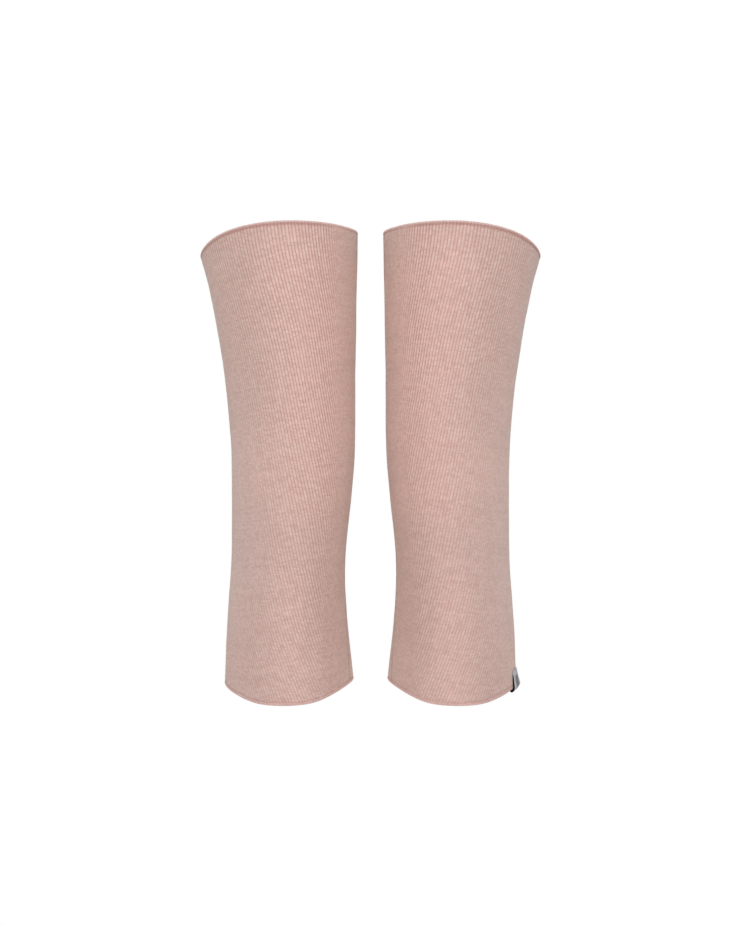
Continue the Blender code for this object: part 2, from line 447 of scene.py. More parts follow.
# %% [markdown]
# ## How a heathered yarn varies
#
# Heather yarn is spun from fibres dyed in two shades, here rose and oat, so its colour wanders along the
# thread. In the cloth that gives three things: stitches that differ a little from each other, runs of a few
# stitches up a rib that are pinker or greyer, and long thin streaks across the ribs where the yarn was
# thicker or thinner. The group mixes the two shades by noise at those three scales, and paints a darker and
# redder colour into the grooves: painted shade, for the shadow there and the light that has bounced from yarn
# to yarn. A stitch of pale fibres is also a less colourful one, so its green and blue rise more than its red.

# %% Node group: heathered yarn
heather, given, result = open_group(
    "heathered yarn",
    "ShaderNodeTree",
    [
        ("Place", VECTOR),
        ("Counts", VECTOR),
        ("Stitch", VECTOR),
        ("Crest", FLOAT, 1.0),
        ("Rose", COLOUR, (0.74, 0.50, 0.45, 1)),
        ("Oat", COLOUR, (0.74, 0.56, 0.50, 1)),
        ("Groove", COLOUR, (0.60, 0.34, 0.28, 1)),
        ("Bleach", VECTOR, (0.72, 1.10, 1.22)),
        ("Streaks", FLOAT, 0.19),
        ("Runs", FLOAT, 0.085),
        ("Speckle", FLOAT, 0.215),
    ],
    [("Colour", COLOUR), ("Fibre", FLOAT)],
)
STREAK_SLOPE = 0.18  # the streaks run square to the leaning ribs, so they climb towards the inner leg
STREAKS_PER_METRE = (20, 20, 480)
RUNS_PER_STITCH = (0.9, 0.16, 1)
FIBRES_PER_METRE = 2600.0
place = add(heather, "ShaderNodeSeparateXYZ", {0: given["Place"]}).outputs
climb = calc("MULTIPLY_ADD", calc("ABSOLUTE", place["X"]), STREAK_SLOPE, place["Z"])
level = worked("ShaderNodeCombineXYZ", {0: place["X"], 1: place["Y"], 2: climb})
stretch = vector("MULTIPLY", level, STREAKS_PER_METRE)
streak = noise(stretch, 1.0, 2.0)
run = vector("MULTIPLY", given["Counts"], RUNS_PER_STITCH)
shade = noise(run, 1.0, 1.0)
dots = worked("ShaderNodeTexWhiteNoise", {"Vector": given["Stitch"]}, noise_dimensions="3D")
fibre = noise(given["Place"], FIBRES_PER_METRE, 2.0)
wander = worked("ShaderNodeMapRange", {0: shade, 1: 0.32, 2: 0.68})
yarn = mix_colours(wander, given["Rose"], given["Oat"])
# Painted shade: the grooves take the darker groove colour.
ribbed_yarn = mix_colours(given["Crest"], given["Groove"], yarn)


def swing(chance, amount):
    """How much lighter or darker a noise makes the yarn."""
    return times(calc("SUBTRACT", chance, 0.5), amount)


paler = calc("ADD", swing(shade, given["Runs"]), swing(dots, given["Speckle"]))
by_colour = vector("SCALE", given["Bleach"], Scale=paler)
bleached = vector("MULTIPLY_ADD", ribbed_yarn, by_colour, ribbed_yarn)
thick_and_thin = calc("ADD", swing(streak, given["Streaks"]), 1.0)
spun = vector("SCALE", bleached, Scale=thick_and_thin)
heather.links.new(spun, result["Colour"])
heather.links.new(fibre, result["Fibre"])
print("group:", heather.name, "with", len(heather.nodes), "nodes")

# %% [markdown]
# ## The rib knit as a material
#
# The groups come together in a material, and the sleeve's points say how the cloth lies. Where it is little
# stretched, its ribs close up and hide their grooves. Where it is stretched most, beside the inner edge, they
# are drawn flat, and next to that their grooves get the darkest painted shade. Where sewing draws it into a
# furrow, a painted shade darkens its colour, and a broad painted shade darkens the outer half of the leg more
# than the inner half.
#
# The height of the stitches and of loose fibre goes to a Bump node. Wool has a faint bloom of fine hair,
# which shows as a pale edge where the cloth turns away: the shader's sheen does that. What is the same all
# over, such as roughness, is set on the shader itself.

# %% Materials of knitted yarn
# Rose and oat are a yarn's own colours; its groove colour is painted shade between the ribs.
Yarn = namedtuple("Yarn", "name rose oat groove")
TUBE_YARN = Yarn(
    "rose_heather_rib", (0.765, 0.515, 0.463, 1), (0.752, 0.532, 0.475, 1), (0.602, 0.336, 0.280, 1)
)
UPPER_YARN = Yarn("pale_rose_roll", (0.80, 0.55, 0.52, 1), (0.78, 0.58, 0.55, 1), (0.66, 0.40, 0.37, 1))
LOWER_YARN = Yarn("deep_rose_roll", (0.86, 0.575, 0.53, 1), (0.84, 0.59, 0.55, 1), (0.74, 0.45, 0.41, 1))
# Colours of painted shade: in the furrows, in the darkest grooves, and over broad parts of the leg.
FURROW_SHADE_COLOUR = (0.43, 0.20, 0.168, 1)
DARKEST_GROOVE_SHADE = (0.52, 0.265, 0.215, 1)
BROAD_SHADE_TINT = (0.885, 0.905, 0.92, 1)
MEAN_CREST = 0.6  # a rib's nearness to its top on average, which a flat one has all over
FIBRE_HEIGHT = 0.35  # of a stitch's height
KNIT_BUMP = (0.7, 0.0003)  # strength, and depth in metres
WOOL = {"Roughness": 0.92, "Specular IOR Level": 0.25}
WOOL |= {"Sheen Weight": 0.55, "Sheen Roughness": 0.5, "Sheen Tint": (0.95, 0.98, 0.88, 1)}


def carried_by_points(tree, name):
    """What the points of the cloth carry under this name, in a material. It is 0 where they carry nothing."""
    return add(tree, "ShaderNodeAttribute", attribute_name=name).outputs["Fac"]


def knit_material(yarn):
    """Rib knit in one yarn. It reads the UV map "knit", where U counts ribs and V counts courses."""
    material, tree = new_material(yarn.name)
    closed, flat, painted_groove_shade, furrow, broad_painted_shade = (
        carried_by_points(tree, name) for name in ("closed", "flat", "painted_groove_shade", "furrow", "broad_painted_shade")
    )
    counts = add(tree, "ShaderNodeUVMap", uv_map="knit").outputs[0]
    knit = add(tree, "ShaderNodeGroup", {"Counts": counts}, node_tree=stitches).outputs
    to_mean = calc("SUBTRACT", MEAN_CREST, knit["Crest"])
    drawn_flat = calc("MULTIPLY_ADD", to_mean, flat, knit["Crest"])
    yarn_inputs = {
        "Place": add(tree, "ShaderNodeTexCoord").outputs["Object"],
        "Counts": counts,
        "Stitch": knit["Stitch"],
        # Closed and flat ribs show less of the painted groove shade.
        "Crest": calc("MAXIMUM", drawn_flat, closed),
        "Rose": yarn.rose,
        "Oat": yarn.oat,
        # The grooves' painted shade, darkest in the band beside the flat ribs.
        "Groove": mix_colours(painted_groove_shade, yarn.groove, DARKEST_GROOVE_SHADE),
    }
    spun = add(tree, "ShaderNodeGroup", yarn_inputs, node_tree=heather).outputs
    # Painted shade: a broad darkening over parts of the leg, and a darker one in the furrows.
    shaded = vector("MULTIPLY", spun["Colour"], mix_colours(broad_painted_shade, WHITE, BROAD_SHADE_TINT))
    colour = mix_colours(furrow, shaded, FURROW_SHADE_COLOUR)
    height = calc("MULTIPLY_ADD", spun["Fibre"], FIBRE_HEIGHT, knit["Height"])
    set_shader(tree, colour, height, KNIT_BUMP, WOOL)
    return material


tube_knit, upper_knit, lower_knit = (knit_material(yarn) for yarn in (TUBE_YARN, UPPER_YARN, LOWER_YARN))
print("yarns:", [material.name for material in (tube_knit, upper_knit, lower_knit)])

# %% [markdown]
# ## Raising the ribs with Geometry Nodes
#
# A fine rib could be left to a bump, but then its grooves would hold no shadow and its outline would be
# smooth. A tree of Geometry Nodes pushes the points of a plain sleeve instead. Every point of the sleeve
# carries what the tree has to know: its place among the ribs, the way out of the cloth, its distance from
# the seam and from the nearer hem, and whether its side of the wall rises or sinks in a groove. So one tree
# makes ribs on both sides of the wall, sinks the seam, and draws the cloth in below the hem.

# %% Geometry Nodes: rib the knit
UNEVEN_PER_METRE = 170.0
EASE_PER_METRE = 24.0
EASE_FADE = (0.003, 0.02)  # how far from a hem the cloth starts to ease, and where it does so in full
DIP_REACH = 0.0014  # how wide the dip beside a hem is on each side of its middle

rib_knit, given, result = open_group(
    "rib the knit",
    "GeometryNodeTree",
    [
        ("Geometry", GEOMETRY),
        ("Rib Depth", FLOAT, 0.00045),
        ("Groove Narrowness", FLOAT, 3.0),
        ("Unevenness", FLOAT, 0.12),
        ("Seam Depth", FLOAT, 0.0005),
        ("Seam Half Width", FLOAT, 0.0014),
        ("Hem Dip", FLOAT, 0.0005),
        ("Hem Dip Place", FLOAT, 0.0024),
        ("Ease", FLOAT, 0.0004),
        ("Knit", MATERIAL),
    ],
    [("Geometry", GEOMETRY)],
)


def carried(tree, name, data_type="FLOAT"):
    """What each point carries under this name."""
    named = add(tree, "GeometryNodeInputNamedAttribute", {"Name": name}, data_type=data_type)
    return named.outputs["Attribute"]


def noise_round_zero(tree, features_per_metre):
    """Smooth noise over the cloth, from about -1 to 1."""
    place = add(tree, "GeometryNodeInputPosition").outputs[0]
    return times(calc("SUBTRACT", noise(place, features_per_metre, 1.0), 0.5), 3.0)


def finish_tree(tree, geometry, material, result):
    """Ends a tree of Geometry Nodes: it makes copies real and gives the faces their material."""
    whole = worked("GeometryNodeRealizeInstances", {"Geometry": geometry})
    dyed = worked("GeometryNodeSetMaterial", {"Geometry": whole, "Material": material})
    tree.links.new(dyed, result["Geometry"])


turn = calc("FRACT", carried(rib_knit, "rib"))
off_crest = times(apart(turn, 0.5), 2)
groove = calc("POWER", off_crest, given["Groove Narrowness"])
uneven = calc("MULTIPLY_ADD", noise_round_zero(rib_knit, UNEVEN_PER_METRE), given["Unevenness"], 1.0)
ribbed = times(groove, uneven, given["Rib Depth"], carried(rib_knit, "push"))

by_seam = fade(carried(rib_knit, "from_seam"), 0.0, given["Seam Half Width"])
seam = times(by_seam, given["Seam Depth"])
from_hem = carried(rib_knit, "from_hem")
by_dip = fade(apart(from_hem, given["Hem Dip Place"]), 0.0, DIP_REACH)
dip = times(by_dip, given["Hem Dip"])
slack = calc("SUBTRACT", 1.0, fade(from_hem, *EASE_FADE))
ease = times(noise_round_zero(rib_knit, EASE_PER_METRE), slack, given["Ease"])
sunk = calc("SUBTRACT", ribbed, calc("ADD", seam, dip))
outward = carried(rib_knit, "outward", "FLOAT_VECTOR")
offset = vector("SCALE", outward, Scale=calc("ADD", sunk, ease))
pushed = worked("GeometryNodeSetPosition", {"Geometry": given["Geometry"], "Offset": offset})
finish_tree(rib_knit, pushed, given["Knit"], result)
print("tree:", rib_knit.name, "with", len(rib_knit.nodes), "nodes")

# %% [markdown]
# ## From a tree to a plain mesh
#
# A tree works on an object through a modifier. Its inputs are set by their identifiers before the object is
# first worked out, and the result is then kept as a plain mesh and the modifier removed. That leaves an
# ordinary object, which any other program can read.

# %% Helpers: grow an object and carry values
def grow(name, mesh, tree, values):
    """Runs a tree over a mesh and returns the result as a finished object."""
    obj = new_object(name, mesh)
    modifier = obj.modifiers.new(tree.name, "NODES")
    modifier.node_group = tree
    for item in tree.interface.items_tree:
        if item.in_out == "INPUT" and item.name in values:
            modifier[item.identifier] = values[item.name]
    graph = bpy.context.evaluated_depsgraph_get()
    worked_out = obj.evaluated_get(graph)
    grown = bpy.data.meshes.new_from_object(worked_out, preserve_all_data_layers=True, depsgraph=graph)
    obj.modifiers.remove(modifier)
    obj.data = grown
    grown.name = name
    grown.shade_smooth()
    grown.calc_loop_triangles()
    print(f"{name}: {len(grown.loop_triangles)} triangles")
    return obj


def carry(mesh, **traits):
    """Gives each point of a mesh numbers or directions, under names that a tree or a material reads."""
    for name, values in traits.items():
        kind, slot = ("FLOAT_VECTOR", "vector") if np.ndim(values) > 1 else ("FLOAT", "value")
        data = mesh.attributes.new(name, kind, "POINT").data
        data.foreach_set(slot, np.ravel(values).astype(np.float32))


# %% [markdown]
# ## The plain sleeve
#
# The sleeve is woven from rings of points, an outer skin and an inner one, joined by a rim at each end. A
# ring's points follow the ribs, six to a rib outside and three inside, so that a groove always falls on
# points. The rings crowd together near the hems, where the cloth dips, and lie evenly in between.
#
# The first and the last ring are hidden inside the rolled hems.

# %% Rings of the sleeve
RIBS = 150
OUTER_POINTS = 6 * RIBS
INNER_POINTS = 3 * RIBS
OUTER_RINGS = 80
INNER_RINGS = 46
COURSE = 0.0011  # how tall a stitch is
# How far from a hem's free edge the rings beside it lie.
BESIDE_EDGE = (HEM_RADIUS, 0.0018, 0.0022, 0.0026, 0.0031, 0.0038, 0.0050)
SEAM_TOP = math.radians(-170)
SEAM_MIDDLE = math.radians(-178)
SEAM_BOTTOM = math.radians(-162)
SEAM_STRAIGHT = (0.3, 0.6)  # shares of the way down between which it stays on the inner side
FIRST_COURSE = {1: 0, -1: 500}  # the legs are knitted apart, so their yarn differs


def ramp(values, start, end):
    """0 up to one value, 1 from another on, and a straight slope between them."""
    return np.clip((values - start) / (end - start), 0, 1)


def ring_places(rings):
    """Where each ring lies between the hems: its share of the way up, and how far it is lifted from there."""
    last = BESIDE_EDGE[-1]
    shares = np.linspace(0, 1, rings - 2 * len(BESIDE_EDGE) + 2)[1:-1]
    low = [(0.0, step) for step in BESIDE_EDGE]
    high = [(1.0, -step) for step in reversed(BESIDE_EDGE)]
    return low + [(share, last * (1 - 2 * share)) for share in shares] + high


def ring_height(place, angle):
    """The heights of a ring at these angles."""
    share, lift = place
    low, high = edge(LOWER_HEM, angle), edge(UPPER_HEM, angle)
    return low + share * (high - low) + lift


def seam_angle(height):
    """The seam runs down the inner side and comes a little to the front at both ends."""
    down = ramp(height, UPPER_HEM.inner, LOWER_HEM.inner)
    near_top = ramp(down, SEAM_STRAIGHT[0], 0) ** 2
    near_bottom = ramp(down, SEAM_STRAIGHT[1], 1) ** 2
    return SEAM_MIDDLE + near_top * (SEAM_TOP - SEAM_MIDDLE) + near_bottom * (SEAM_BOTTOM - SEAM_MIDDLE)


def skin(side, points, rings, out_by):
    """One skin of the sleeve: places, ways out, and distances from the seam and the hems, ring by ring."""
    found = []
    for place in ring_places(rings):
        middle = (ring_height(place, -math.pi / 2) + ring_height(place, math.pi / 2)) / 2
        angle = rib_angles(middle, points)
        height = ring_height(place, angle)
        crest_points, out = cloth(side, angle, height)
        seam_points, _ = cloth(side, seam_angle(height), height)
        from_seam = np.linalg.norm(crest_points - seam_points, axis=-1)
        from_hem = np.minimum(height - edge(LOWER_HEM, angle), edge(UPPER_HEM, angle) - height)
        found.append((crest_points + out_by * out, out, from_seam, from_hem))
    return [np.array(part) for part in zip(*found)]


print("courses up the front:", round(length_in_front / COURSE))


# %% Faces between rings
def band_faces(rings, points, first=0, closed=False):
    """Four-sided faces between neighbouring rings. In a closed band, the last ring also joins the first."""
    i, j = np.mgrid[0 : rings if closed else rings - 1, 0:points]
    ring = np.stack([i, i, i + 1, i + 1], axis=-1).reshape(-1, 4) % rings
    column = np.stack([j, j + 1, j + 1, j], axis=-1).reshape(-1, 4) % points
    return first + ring * points + column


def rim_faces(outer_first, inner_first):
    """Five-sided faces that close the wall, each from one inner edge to the two outer edges over it."""
    j = np.arange(INNER_POINTS)
    over = [outer_first + (2 * j + k) % OUTER_POINTS for k in range(3)]
    under = [inner_first + (j + 1) % INNER_POINTS, inner_first + j]
    return np.stack(over + under, axis=-1)


def past_the_end(counts, mesh, period):
    """Counts at the corners of faces, carried on past the last one where a face closes a ring."""
    starts = np.array([face.loop_start for face in mesh.polygons])
    sizes = np.array([face.loop_total for face in mesh.polygons])
    most = np.repeat(np.maximum.reduceat(counts, starts), sizes)
    return np.where(most - counts > period / 2, counts + period, counts)


def corner_points(mesh):
    """The point that each corner of the faces stands on."""
    points = np.empty(len(mesh.loops), np.int32)
    mesh.loops.foreach_get("vertex_index", points)
    return points


def lay_uv(mesh, name, across, along):
    """A UV map from two numbers for each corner of the faces."""
    layer = mesh.uv_layers.new(name=name)
    layer.data.foreach_set("uv", np.stack([across, along], axis=-1).ravel().astype(np.float32))


def lay_counts(mesh, ribs, courses, course_period):
    """The UV map "knit" from the ribs and the courses of a mesh's points."""
    points = corner_points(mesh)
    across = past_the_end(ribs[points], mesh, RIBS)
    lay_uv(mesh, "knit", across, past_the_end(courses[points], mesh, course_period))


# %% [markdown]
# ## How the ribs lie
#
# A knit tube is not stretched alike all round. On the outer side it is slack from the knee down, so its ribs
# close up. Beside the inner edge it is stretched most, which draws them flat, and next to that their grooves
# get the darkest painted shade. Sewing draws the cloth into a furrow beside the upper hem and along the seam,
# and a painted shade darkens those furrows and broad parts of the leg. These functions say how much of each
# there is at a point. They use its height, and its place across the leg, which runs from -1 at the inner
# edge to 1 at the outer one.

# %% Painted shade in the furrows beside the hems and in the seam
# Painted shade in the furrows beside the hems, in the seam and at the seam's upper end: how strong it is and
# where it lies.
HEM_FURROW = ((-0.75, -0.60, 0.1, 0.6), (0.08, 0.60, 0.64, 0.76))  # places across the leg, and the strength of the painted shade there
LOWER_FURROW = 0.06
SEAM_FURROW = 0.7
SEAM_END_FURROW = 0.75
HEM_FURROW_PLACE = 0.0026  # from the free edge
SEAM_END_PLACE = 0.0022
# The distances at which the shade of each furrow starts and is there in full.
HEM_FURROW_FADE = (0.0015, 0.0005)
SEAM_FURROW_FADE = (0.0016, 0.0006)
SEAM_END_FADE = (0.0033, 0.0011)


def hump(values, middle, reach):
    """1 at one value, falling away on both sides of it."""
    return np.exp(-(((values - middle) / reach) ** 2))


def towards_outer(side, places):
    """Where points lie across a leg: -1 at its inner edge and 1 at its outer one."""
    inner, outer = (smooth(name, places[:, 2]) for name in ("inner", "outer"))
    return (2 * side * places[:, 0] - inner - outer) / (outer - inner)


def hem_furrow(side, places):
    """How strong the painted shade in the furrow beside the hems is. At the upper hem it is strongest outside
    and gone at the inner edge.
    """
    return np.where(places[:, 2] > 0, np.interp(towards_outer(side, places), *HEM_FURROW), LOWER_FURROW)


def furrow_shade(side, places, from_seam, from_hem):
    """How strong the painted shade of a furrow is at each point: beside a hem, in the seam, or at the seam's
    upper end.
    """
    by_hem = hem_furrow(side, places) * ramp(np.abs(from_hem - HEM_FURROW_PLACE), *HEM_FURROW_FADE)
    by_seam = SEAM_FURROW * ramp(from_seam, *SEAM_FURROW_FADE)
    seam_end = SEAM_END_FURROW * ramp(np.hypot(from_seam, from_hem - SEAM_END_PLACE), *SEAM_END_FADE)
    return np.maximum.reduce([by_hem, by_seam, seam_end * (places[:, 2] > 0)])


# %% Ribs across the leg
# Places across the leg, each with how far it reaches. In the sums, a number before a term is its strength.
DARKEST_GROOVE_BAND = (-0.60, 0.21)
OUTER_SHADE = (0.45, 0.42)
INNER_CALF_SHADE = (-0.62, 0.32)
# The same for heights, in metres.
KNEECAP = (-0.018, 0.028)
BELOW_KNEE = (-0.078, 0.028)
# Heights at which something sets in, and those at which it is there in full.
THIGH_TO_KNEE = (0.10, -0.01)
THIGH_TO_SHIN = (0.08, -0.04)
DOWN_THE_CALF = (-0.10, -0.19)
INNER_CALF = (-0.05, -0.11)
LOW_CALF = (-0.08, -0.16)
AT_LOWER_HEM = (-0.14, -0.18)
AT_UPPER_HEM = (0.135, 0.155)


def across_the_leg(side, places):
    """How far the ribs are closed up and drawn flat, and how strong the painted shade is in their grooves and
    over broad parts of the knit.
    """
    z = places[:, 2]
    to_outer = towards_outer(side, places)
    at_lower_hem = ramp(z, *AT_LOWER_HEM)

    # They close up on the outer side, most at the knee, and a little all round above and below it.
    slack = ramp(z, *THIGH_TO_KNEE) * (1 - 0.6 * ramp(z, *DOWN_THE_CALF))
    closed = 0.9 * slack * np.exp((to_outer - 1) / 0.8) + 0.14 * ramp(np.maximum(-z, 0.5 * z), 0, 0.08)
    closed += 0.22 * at_lower_hem * ramp(to_outer, 0.5, 0.2)
    closed = np.maximum(closed, 0.8 * np.exp((to_outer - 1) / 0.15))

    # They are drawn flat beside the inner edge, in a wider band at the calf, and next to it their grooves get
    # the darkest painted shade.
    flat_from = -0.65 + 0.14 * ramp(z, *LOW_CALF)
    flat = 0.8 * ramp(to_outer, flat_from, flat_from - 0.16)
    painted_groove_shade = hump(to_outer, *DARKEST_GROOVE_BAND) * (1 - 0.4 * ramp(z, *THIGH_TO_SHIN)) * (1 - at_lower_hem)

    # A broad painted shade darkens the outer half, less on the kneecap, where it leaves a painted highlight,
    # and also below the knee, on the inner calf and under the upper hem.
    lit = 0.5 * hump(z, *KNEECAP) * ramp(to_outer, 0.80, 0.50)
    broad_shade = hump(to_outer, *OUTER_SHADE) * (1 - lit)
    broad_shade += 0.33 * hump(z, *BELOW_KNEE) * ramp(to_outer, -1.2, -0.2)
    broad_shade += 0.8 * hump(to_outer, *INNER_CALF_SHADE) * ramp(z, *INNER_CALF)
    broad_shade += 0.25 * ramp(z, *AT_UPPER_HEM)
    return {"closed": np.minimum(closed, 0.9), "flat": flat, "painted_groove_shade": painted_groove_shade, "broad_painted_shade": broad_shade}


# %% The sleeve of one leg
def sleeve_mesh(name, side):
    """The plain sleeve of one leg, with all that its points carry."""
    outer = skin(side, OUTER_POINTS, OUTER_RINGS, 0.0)
    inner = skin(side, INNER_POINTS, INNER_RINGS, -WALL)
    places, outs, from_seam, from_hem = (
        np.concatenate([part.reshape(-1, *part.shape[2:]) for part in both]) for both in zip(outer, inner)
    )
    first_inner = OUTER_POINTS * OUTER_RINGS
    blocks = [
        band_faces(OUTER_RINGS, OUTER_POINTS),
        band_faces(INNER_RINGS, INNER_POINTS, first_inner)[:, ::-1],
        rim_faces(0, first_inner)[:, ::-1],
        rim_faces(first_inner - OUTER_POINTS, len(places) - INNER_POINTS),
    ]
    mesh = new_mesh(name, places, blocks)
    if side < 0:
        mesh.flip_normals()
    outer_ribs, inner_ribs = (np.arange(points) * RIBS / points for points in (OUTER_POINTS, INNER_POINTS))
    ribs = np.concatenate([np.tile(outer_ribs, OUTER_RINGS), np.tile(inner_ribs, INNER_RINGS)])
    is_inner = np.arange(len(places)) >= first_inner
    ribs += 0.5 * is_inner  # what is a crest outside is a groove inside
    ribbing = across_the_leg(side, places)
    rise = 1 - 0.6 * np.maximum(ribbing["closed"], ribbing["flat"])
    push = np.where(is_inner, rise, -rise)
    carry(mesh, rib=ribs, push=push, outward=outs, from_seam=from_seam, from_hem=from_hem)
    carry(mesh, furrow=furrow_shade(side, places, from_seam, from_hem), **ribbing)
    courses = FIRST_COURSE[side] + (places[:, 2] - LOWER_HEM.front) / COURSE
    lay_counts(mesh, ribs, courses, math.inf)
    return mesh


SIDES = {"left": 1, "right": -1}
sleeves = {
    leg: grow(f"{leg}_knit", sleeve_mesh(f"{leg}_sleeve", side), rib_knit, {"Knit": tube_knit})
    for leg, side in SIDES.items()
}

# %% [markdown]
# ## The rolled hems
#
# The cut edge of a fine knit is rolled in on itself and oversewn, which leaves a cord of cloth two
# millimetres thick. The roll turns inwards, so it lies level with the cloth outside. Its path needs three
# directions at each point: along the hem, out of the cloth, and on towards the free edge.
#
# The same tree raises faint ribs on the roll, where the ribs of the leg run on into it.

# %% The path of a hem
ROLL_POINTS = 4 * RIBS
ROLL_SIDES = 14
HEM_OUT = -0.0012  # how far out of the cloth's crests the middle of the roll lies
ROLL_SHADE = {1: 0.86, -1: 0.0}  # how much of the furrow's painted shade reaches the underside of the upper roll and of the lower one

Path = namedtuple("Path", "places along out free")


def hem_path(side, hem, up, points, below=HEM_RADIUS, out_by=HEM_OUT):
    """Points at even steps round a hem, this far from its free edge, with the three ways there."""
    angle = rib_angles((hem.front + hem.back) / 2, points)
    crest_points, out = cloth(side, angle, edge(hem, angle) - up * below)
    places = crest_points + out_by * out
    along = np.roll(places, -1, axis=0) - np.roll(places, 1, axis=0)
    along /= np.linalg.norm(along, axis=1, keepdims=True)
    free = np.cross(along, out)
    free *= up * np.sign(free[:, 2:])
    return Path(places, np.cross(out, free), out, free)


sample = hem_path(1, UPPER_HEM, 1, ROLL_POINTS)
steps = np.linalg.norm(np.roll(sample.places, -1, axis=0) - sample.places, axis=1)
print("upper hem in millimetres:", round(steps.sum() * 1000))


# %% The rolls
def roll_mesh(name, side, hem, up):
    """A closed cord round the edge of the cloth."""
    path = hem_path(side, hem, up, ROLL_POINTS)
    turn = 2 * math.pi * np.arange(ROLL_SIDES) / ROLL_SIDES
    way = np.cos(turn)[:, None, None] * path.out + np.sin(turn)[:, None, None] * path.free
    places = (path.places + HEM_RADIUS * way).reshape(-1, 3)
    mesh = new_mesh(name, places, [band_faces(ROLL_SIDES, ROLL_POINTS, closed=True)])
    ribs = np.tile(np.arange(ROLL_POINTS) * RIBS / ROLL_POINTS, ROLL_SIDES)
    # The roll's underside, which takes the painted shade of the furrow beside it.
    under = np.repeat(ramp(np.sin(turn), 0.4, -0.6), ROLL_POINTS)
    far = np.ones(len(places))
    carry(mesh, rib=ribs, push=-far, outward=way.reshape(-1, 3), from_seam=far, from_hem=far)
    carry(mesh, furrow=ROLL_SHADE[up] * hem_furrow(side, places) * under)
    courses_round = round(2 * math.pi * HEM_RADIUS / COURSE)
    courses = np.repeat(np.arange(ROLL_SIDES), ROLL_POINTS) * courses_round / ROLL_SIDES
    lay_counts(mesh, ribs, courses, courses_round)
    if mesh.polygons[0].normal.dot(Vector(way[0][0])) < 0:
        mesh.flip_normals()
    return mesh


HEMS = {"upper": (UPPER_HEM, 1, upper_knit), "lower": (LOWER_HEM, -1, lower_knit)}
ROLL_KNIT = {"Rib Depth": 0.0001, "Groove Narrowness": 2.0, "Ease": 0.0, "Seam Depth": 0.0, "Hem Dip": 0.0}
rolls = {}
for leg, side in SIDES.items():
    for end, (hem, up, knit) in HEMS.items():
        mesh = roll_mesh(f"{leg}_{end}_cord", side, hem, up)
        rolls[leg, end] = grow(f"{leg}_{end}_roll", mesh, rib_knit, {**ROLL_KNIT, "Knit": knit})

# %% [markdown]
# ## Thread that follows a path
#
# A line of sewing is one small loop of thread, repeated at even steps along a path. The tree bends one loop
# as an arc, gives it a round section, and sets a copy on every point of the path. Each point carries two
# directions: the axis that the arc turns about, and where on its circle it starts. A small chance lean, from
# a fixed seed, keeps the loops from looking stamped.

# %% Geometry Nodes: thread along a path
sewing, given, result = open_group(
    "thread along a path",
    "GeometryNodeTree",
    [
        ("Geometry", GEOMETRY),
        ("Loop Radius", FLOAT, 0.0012),
        ("Loop Start", FLOAT, 0.0),
        ("Loop Sweep", FLOAT, math.pi),
        ("Loop Points", "NodeSocketInt", 9),
        ("Thread Radius", FLOAT, 0.00016),
        ("Lean", VECTOR, (0.0, 0.0, 0.0)),
        ("Chance Lean", FLOAT, 0.12),
        ("Seed", "NodeSocketInt", 4),
        ("Thread", MATERIAL),
    ],
    [("Geometry", GEOMETRY)],
)
arc_inputs = {
    "Resolution": given["Loop Points"],
    "Radius": given["Loop Radius"],
    "Start Angle": given["Loop Start"],
    "Sweep Angle": given["Loop Sweep"],
}
arc = worked("GeometryNodeCurveArc", arc_inputs, mode="RADIUS")
run_length = add(sewing, "GeometryNodeSplineParameter").outputs["Length"]
marks = {"Geometry": arc, "Name": "thread_length", "Value": run_length}
marked = worked("GeometryNodeStoreNamedAttribute", marks, data_type="FLOAT", domain="POINT")
section = worked("GeometryNodeCurvePrimitiveCircle", {"Resolution": 5, "Radius": given["Thread Radius"]})
loop = worked("GeometryNodeCurveToMesh", {"Curve": marked, "Profile Curve": section, "Fill Caps": True})

axes = {
    "Primary Axis": carried(sewing, "loop_axis", "FLOAT_VECTOR"),
    "Secondary Axis": carried(sewing, "loop_from", "FLOAT_VECTOR"),
}
facing = worked("FunctionNodeAxesToRotation", axes, primary_axis="Z", secondary_axis="X")
placed = {"Points": given["Geometry"], "Instance": loop, "Rotation": facing}
copies = worked("GeometryNodeInstanceOnPoints", placed)

RANDOM_MIN, RANDOM_MAX = 2, 3  # the sockets of Random Value that hold plain numbers
most = given["Chance Lean"]
limits = {RANDOM_MIN: times(most, -1.0), RANDOM_MAX: most, "Seed": given["Seed"]}
chance = add(sewing, "FunctionNodeRandomValue", limits, data_type="FLOAT").outputs[1]
wobble = worked("ShaderNodeCombineXYZ", {0: chance, 1: chance, 2: 0.0})
turned_by = worked("FunctionNodeEulerToRotation", {"Euler": vector("ADD", given["Lean"], wobble)})
leaned = worked("GeometryNodeRotateInstances", {"Instances": copies, "Rotation": turned_by})
finish_tree(sewing, leaned, given["Thread"], result)
print("tree:", sewing.name, "with", len(sewing.nodes), "nodes")

# %% [markdown]
# ## The sewing thread as a material
#
# Sewing thread is two or three plies twisted together, so light runs over it in short slanting bars. The
# tree left each loop's length on its points, and a wave over that length gives the plies as a bump and as a
# slight painted shade between them. It is smoother than wool, so it shines a little more.

# %% Material of thread
PLY_LENGTH = 0.0004
THREAD_BUMP = (0.5, 0.00008)
COTTON = {"Roughness": 0.6, "Sheen Weight": 0.15}


def ripple(value, length):
    """A wave over a value, from -1 to 1, that repeats after this length."""
    return calc("SINE", times(value, 2 * math.pi / length))


def thread_material(name, colour, painted_groove_shade):
    """Twisted thread, with a darker colour painted between its plies as shade."""
    material, tree = new_material(name)
    ply = ripple(carried_by_points(tree, "thread_length"), PLY_LENGTH)
    bar = calc("MULTIPLY_ADD", ply, 0.5, 0.5)
    set_shader(tree, mix_colours(bar, painted_groove_shade, colour), bar, THREAD_BUMP, COTTON)
    return material


